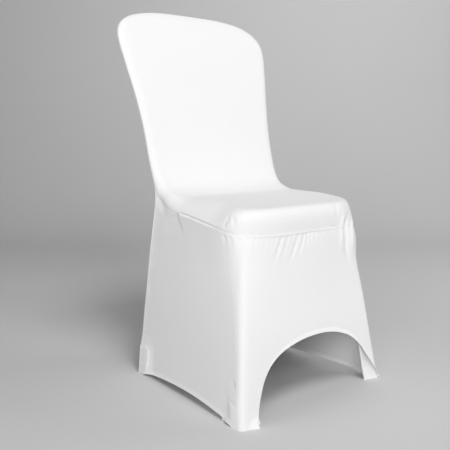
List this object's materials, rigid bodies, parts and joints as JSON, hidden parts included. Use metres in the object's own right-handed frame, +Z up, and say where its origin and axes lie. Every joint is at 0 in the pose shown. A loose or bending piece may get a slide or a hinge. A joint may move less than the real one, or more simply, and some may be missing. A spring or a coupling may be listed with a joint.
{
  "type": "chair cover",
  "caption": "Taut stretch cover for a stacking chair: rounded back, fitted seat, skirt with an arched front hem and foot pockets, hollow inside.",
  "frame": {"origin": "on the floor under the middle of the cover", "axes": "+Z up, -Y the way the sitter faces, +X to the right of someone who looks at the cover's front"},
  "size_m": [0.482, 0.5095, 0.9378],
  "materials": {
    "white_stretch_jersey": "matt, faintly smooth white stretch knit",
    "doubled_jersey": "matt white knit, doubled"
  },
  "bodies": {
    "root": {"front_panel": "white_stretch_jersey", "back_panel": "white_stretch_jersey", "skirt": "white_stretch_jersey", "foot_pocket_front_left": "doubled_jersey", "foot_pocket_front_right": "doubled_jersey", "foot_pocket_rear_left": "doubled_jersey", "foot_pocket_rear_right": "doubled_jersey"}
  },
  "joints": []
}
